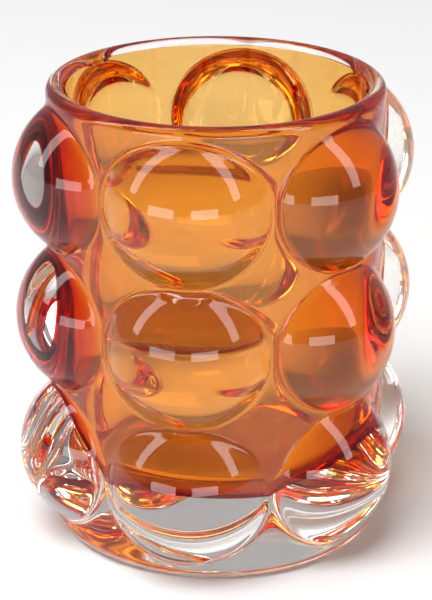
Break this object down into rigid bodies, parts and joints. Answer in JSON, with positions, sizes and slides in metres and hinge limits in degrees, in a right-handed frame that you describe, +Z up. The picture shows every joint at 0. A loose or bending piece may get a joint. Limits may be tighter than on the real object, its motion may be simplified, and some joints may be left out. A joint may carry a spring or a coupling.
{
  "type": "tealight holder",
  "caption": "Heavy clear pressed-glass tealight tumbler covered in round glass domes, with an amber coat inside its well.",
  "frame": {"origin": "centre of the flat foot, on the surface the holder stands on", "axes": "+Z up along the barrel's axis; -Y towards one column of domes"},
  "size_m": [0.0734, 0.0796, 0.09],
  "materials": {
    "clear_glass": "fire-polished pressed glass, clear",
    "amber_coat": "transparent amber coat, glossy"
  },
  "bodies": {
    "root": {"glass_body": "clear_glass", "amber_coat": "amber_coat"}
  },
  "joints": []
}
